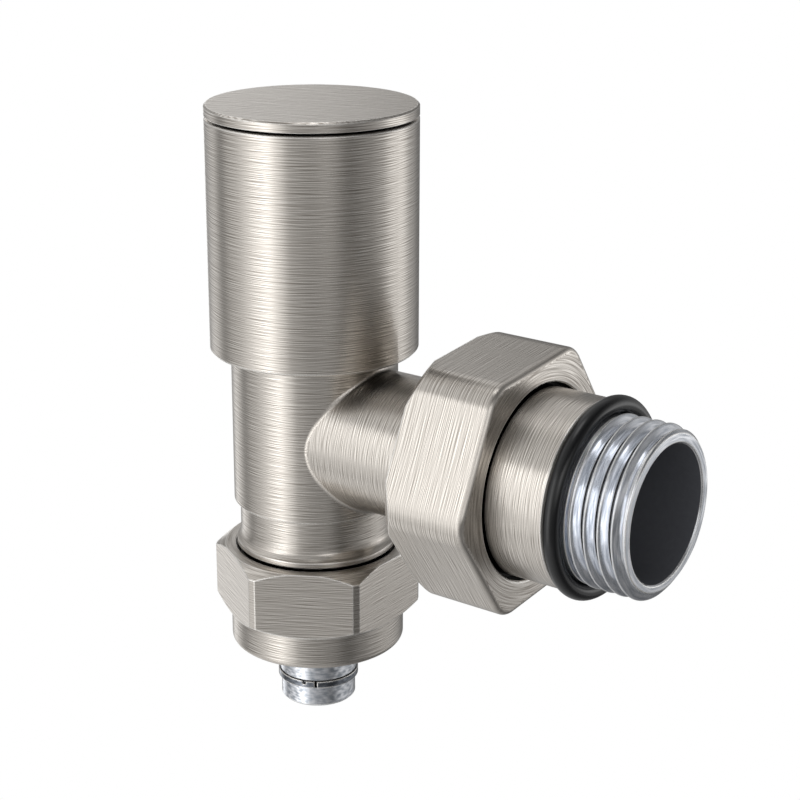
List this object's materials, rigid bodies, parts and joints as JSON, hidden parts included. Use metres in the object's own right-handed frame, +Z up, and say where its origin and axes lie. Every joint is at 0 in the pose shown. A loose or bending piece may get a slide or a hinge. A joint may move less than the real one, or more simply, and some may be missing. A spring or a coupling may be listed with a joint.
{
  "type": "angled radiator valve",
  "caption": "Angled radiator valve in brushed nickel with a plain cylindrical turning head, a union nut and threaded tail to the radiator and a hexagonal nut below for a plastic pipe.",
  "frame": {"origin": "centre of the radiator thread where the thread starts, on the branch axis", "axes": "+X along the branch axis out into the radiator, +Z up along the head's axis, +Y to the left seen along +X"},
  "size_m": [0.0655, 0.0332, 0.0807],
  "materials": {
    "brushed_nickel": "satin brushed nickel plating on brass",
    "bright_plating": "bright zinc or chrome plating on turned brass",
    "rubber": "smooth black seal rubber",
    "brass": "turned brass",
    "steel": "stainless steel",
    "white_plastic": "moulded acetal"
  },
  "bodies": {
    "tail": {"union_tail": "brushed_nickel", "tail_seal": "rubber", "union_seal": "rubber"},
    "union_nut": {"union_nut": "brushed_nickel"},
    "valve_body": {"valve_body": "brushed_nickel", "bonnet": "brass", "bonnet_seal": "rubber"},
    "head": {"head_sleeve": "brushed_nickel", "head_core": "white_plastic", "head_lid": "brushed_nickel", "head_screw": "steel", "spindle": "brass", "spindle_clip": "steel", "spindle_seal_lower": "rubber", "spindle_seal_upper": "rubber", "thrust_washer": "white_plastic"},
    "plug": {"plug_carrier": "brass", "seat_washer": "rubber", "washer_screw": "steel"},
    "insert": {"pipe_insert": "bright_plating", "insert_seal": "rubber", "pipe_seal_upper": "rubber", "pipe_seal_lower": "rubber", "snap_ring": "bright_plating"},
    "pipe_nut": {"pipe_nut": "brushed_nickel", "clamp_ring": "brass"}
  },
  "joints": [
    {"name": "union_nut_turn", "type": "hinge", "parent": "tail", "child": "union_nut", "pos_m": [0, 0, 0], "axis": [1, 0, 0], "range_deg": [0, 1440]},
    {"name": "body_draw_off", "type": "slide", "parent": "tail", "child": "valve_body", "axis": [-1, 0, 0], "range_m": [0, 0.00726]},
    {"name": "head_turn", "type": "hinge", "parent": "valve_body", "child": "head", "pos_m": [-0.0446, 0, 0], "axis": [0, 0, 1], "range_deg": [0, 1080]},
    {"name": "plug_lift", "type": "slide", "parent": "valve_body", "child": "plug", "axis": [0, 0, 1], "range_m": [0, 0.003]},
    {"name": "insert_draw", "type": "slide", "parent": "valve_body", "child": "insert", "axis": [0, 0, -1], "range_m": [0, 0.00726]},
    {"name": "pipe_nut_turn", "type": "hinge", "parent": "insert", "child": "pipe_nut", "pos_m": [-0.0446, 0, 0], "axis": [0, 0, -1], "range_deg": [0, 1440]}
  ],
  "couplings": [
    {"joint": "union_nut_turn", "follows": "body_draw_off", "rad_per_m": 3463.7},
    {"joint": "plug_lift", "follows": "head_turn", "m_per_rad": 0.00015915},
    {"joint": "insert_draw", "follows": "pipe_nut_turn", "m_per_rad": 0.00028871}
  ]
}
